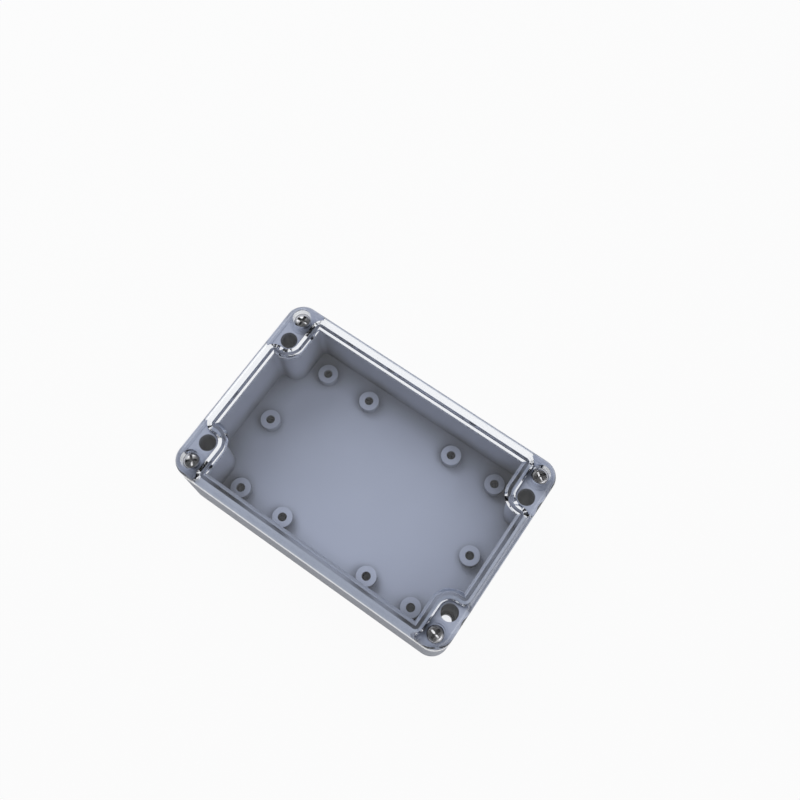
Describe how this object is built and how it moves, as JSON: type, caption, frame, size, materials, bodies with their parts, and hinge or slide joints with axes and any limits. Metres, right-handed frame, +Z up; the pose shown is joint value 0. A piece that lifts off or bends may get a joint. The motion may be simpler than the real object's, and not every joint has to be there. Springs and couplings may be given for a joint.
{
  "type": "electronics enclosure",
  "caption": "Rectangular moulded electronics enclosure with a clear screw-down lid, channel seal, board stand-offs and mounting holes in its corner bosses.",
  "frame": {"origin": "middle of the underside of the base", "axes": "+X along the long side, +Y along the short side, +Z up out of the lid"},
  "size_m": [0.12, 0.08, 0.037],
  "materials": {
    "base_plastic": "fine spark-eroded satin, light grey",
    "lid_clear": "polished clear polycarbonate",
    "seal_foam": "smooth light grey foamed seal",
    "screw_steel": "bright stainless steel",
    "retainer_nylon": "natural nylon",
    "insert_brass": "turned and knurled brass"
  },
  "bodies": {
    "base": {"base_shell": "base_plastic", "threaded_insert_1": "insert_brass", "threaded_insert_2": "insert_brass", "threaded_insert_3": "insert_brass", "threaded_insert_4": "insert_brass"},
    "lid": {"lid": "lid_clear", "gasket": "seal_foam"},
    "retainer_1": {"screw_retainer_1": "retainer_nylon"},
    "screw_1": {"lid_screw_1": "screw_steel"},
    "retainer_2": {"screw_retainer_2": "retainer_nylon"},
    "screw_2": {"lid_screw_2": "screw_steel"},
    "retainer_3": {"screw_retainer_3": "retainer_nylon"},
    "screw_3": {"lid_screw_3": "screw_steel"},
    "retainer_4": {"screw_retainer_4": "retainer_nylon"},
    "screw_4": {"lid_screw_4": "screw_steel"}
  },
  "joints": [
    {"name": "lid_lift", "type": "slide", "parent": "base", "child": "lid", "axis": [0, 0, 1], "range_m": [0, 0.08]},
    {"name": "screw_1_rise", "type": "slide", "parent": "lid", "child": "retainer_1", "axis": [0, 0, 1], "range_m": [0, 0.0065]},
    {"name": "screw_1_turn", "type": "hinge", "parent": "retainer_1", "child": "screw_1", "pos_m": [0.054, 0.034, 0.0345], "axis": [0, 0, 1], "range_deg": [0, 3342.9]},
    {"name": "screw_2_rise", "type": "slide", "parent": "lid", "child": "retainer_2", "axis": [0, 0, 1], "range_m": [0, 0.0065]},
    {"name": "screw_2_turn", "type": "hinge", "parent": "retainer_2", "child": "screw_2", "pos_m": [-0.054, 0.034, 0.0345], "axis": [0, 0, 1], "range_deg": [0, 3342.9]},
    {"name": "screw_3_rise", "type": "slide", "parent": "lid", "child": "retainer_3", "axis": [0, 0, 1], "range_m": [0, 0.0065]},
    {"name": "screw_3_turn", "type": "hinge", "parent": "retainer_3", "child": "screw_3", "pos_m": [-0.054, -0.034, 0.0345], "axis": [0, 0, 1], "range_deg": [0, 3342.9]},
    {"name": "screw_4_rise", "type": "slide", "parent": "lid", "child": "retainer_4", "axis": [0, 0, 1], "range_m": [0, 0.0065]},
    {"name": "screw_4_turn", "type": "hinge", "parent": "retainer_4", "child": "screw_4", "pos_m": [0.054, -0.034, 0.0345], "axis": [0, 0, 1], "range_deg": [0, 3342.9]}
  ],
  "couplings": [
    {"joint": "screw_1_turn", "follows": "screw_1_rise", "rad_per_m": 8976},
    {"joint": "screw_2_turn", "follows": "screw_2_rise", "rad_per_m": 8976},
    {"joint": "screw_3_turn", "follows": "screw_3_rise", "rad_per_m": 8976},
    {"joint": "screw_4_turn", "follows": "screw_4_rise", "rad_per_m": 8976}
  ]
}
